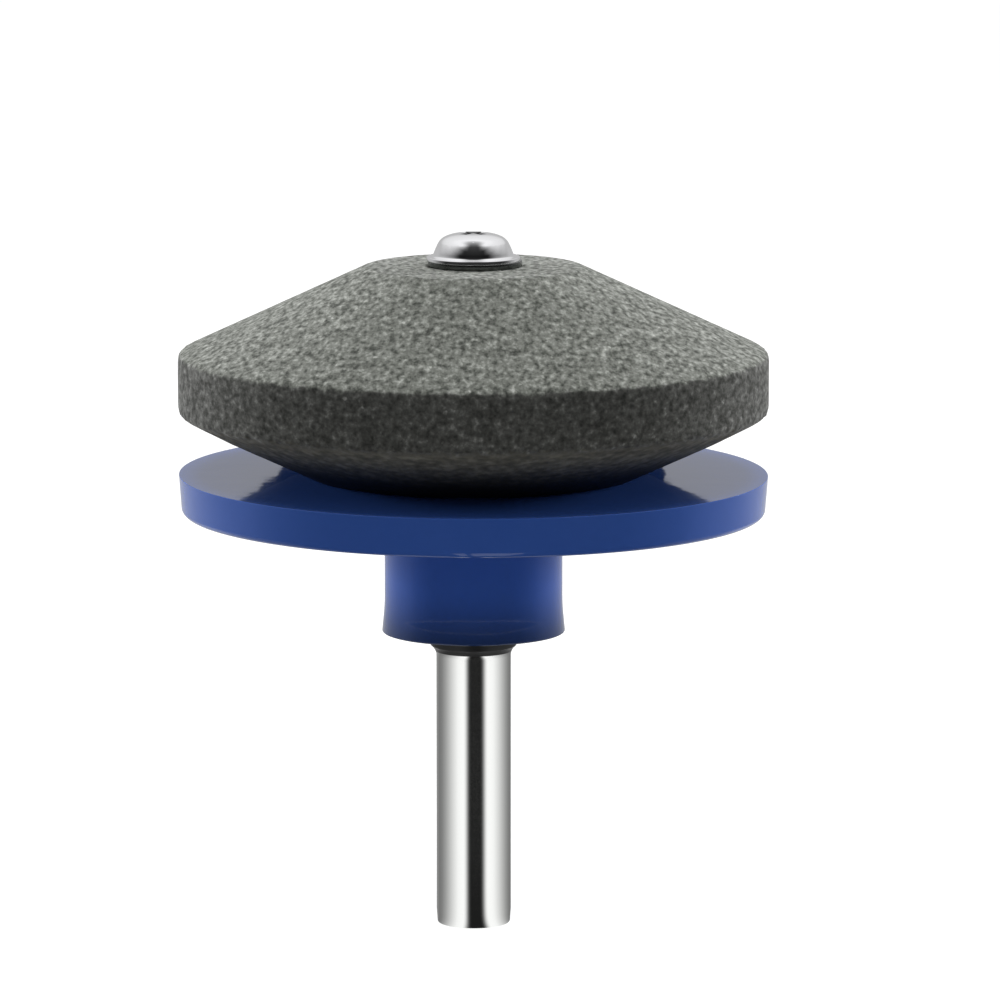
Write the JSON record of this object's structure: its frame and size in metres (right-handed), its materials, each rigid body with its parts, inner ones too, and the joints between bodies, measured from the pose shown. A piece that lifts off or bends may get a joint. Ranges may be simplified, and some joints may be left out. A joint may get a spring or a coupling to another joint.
{
  "type": "grinding stone bit",
  "caption": "Drill-driven grinding stone with two bevels over a flat guide disc and hub, clamped to a straight round shank by a domed screw, for sharpening blades.",
  "frame": {"origin": "centre of the shank's end face, the lowest point of the tool as it stands", "axes": "+Z along the tool's axis, from the shank's end face to the clamp screw's head; X and Y are alike"},
  "size_m": [0.05, 0.05, 0.0594],
  "materials": {
    "shank_steel": "polished",
    "disc_plastic": "gloss",
    "abrasive_stone": "matte",
    "washer_steel": "polished",
    "screw_chrome": "polished"
  },
  "bodies": {
    "root": {"shank": "shank_steel", "guide_disc": "disc_plastic", "grinding_stone": "abrasive_stone", "washer": "washer_steel", "clamp_screw": "screw_chrome"}
  },
  "joints": []
}
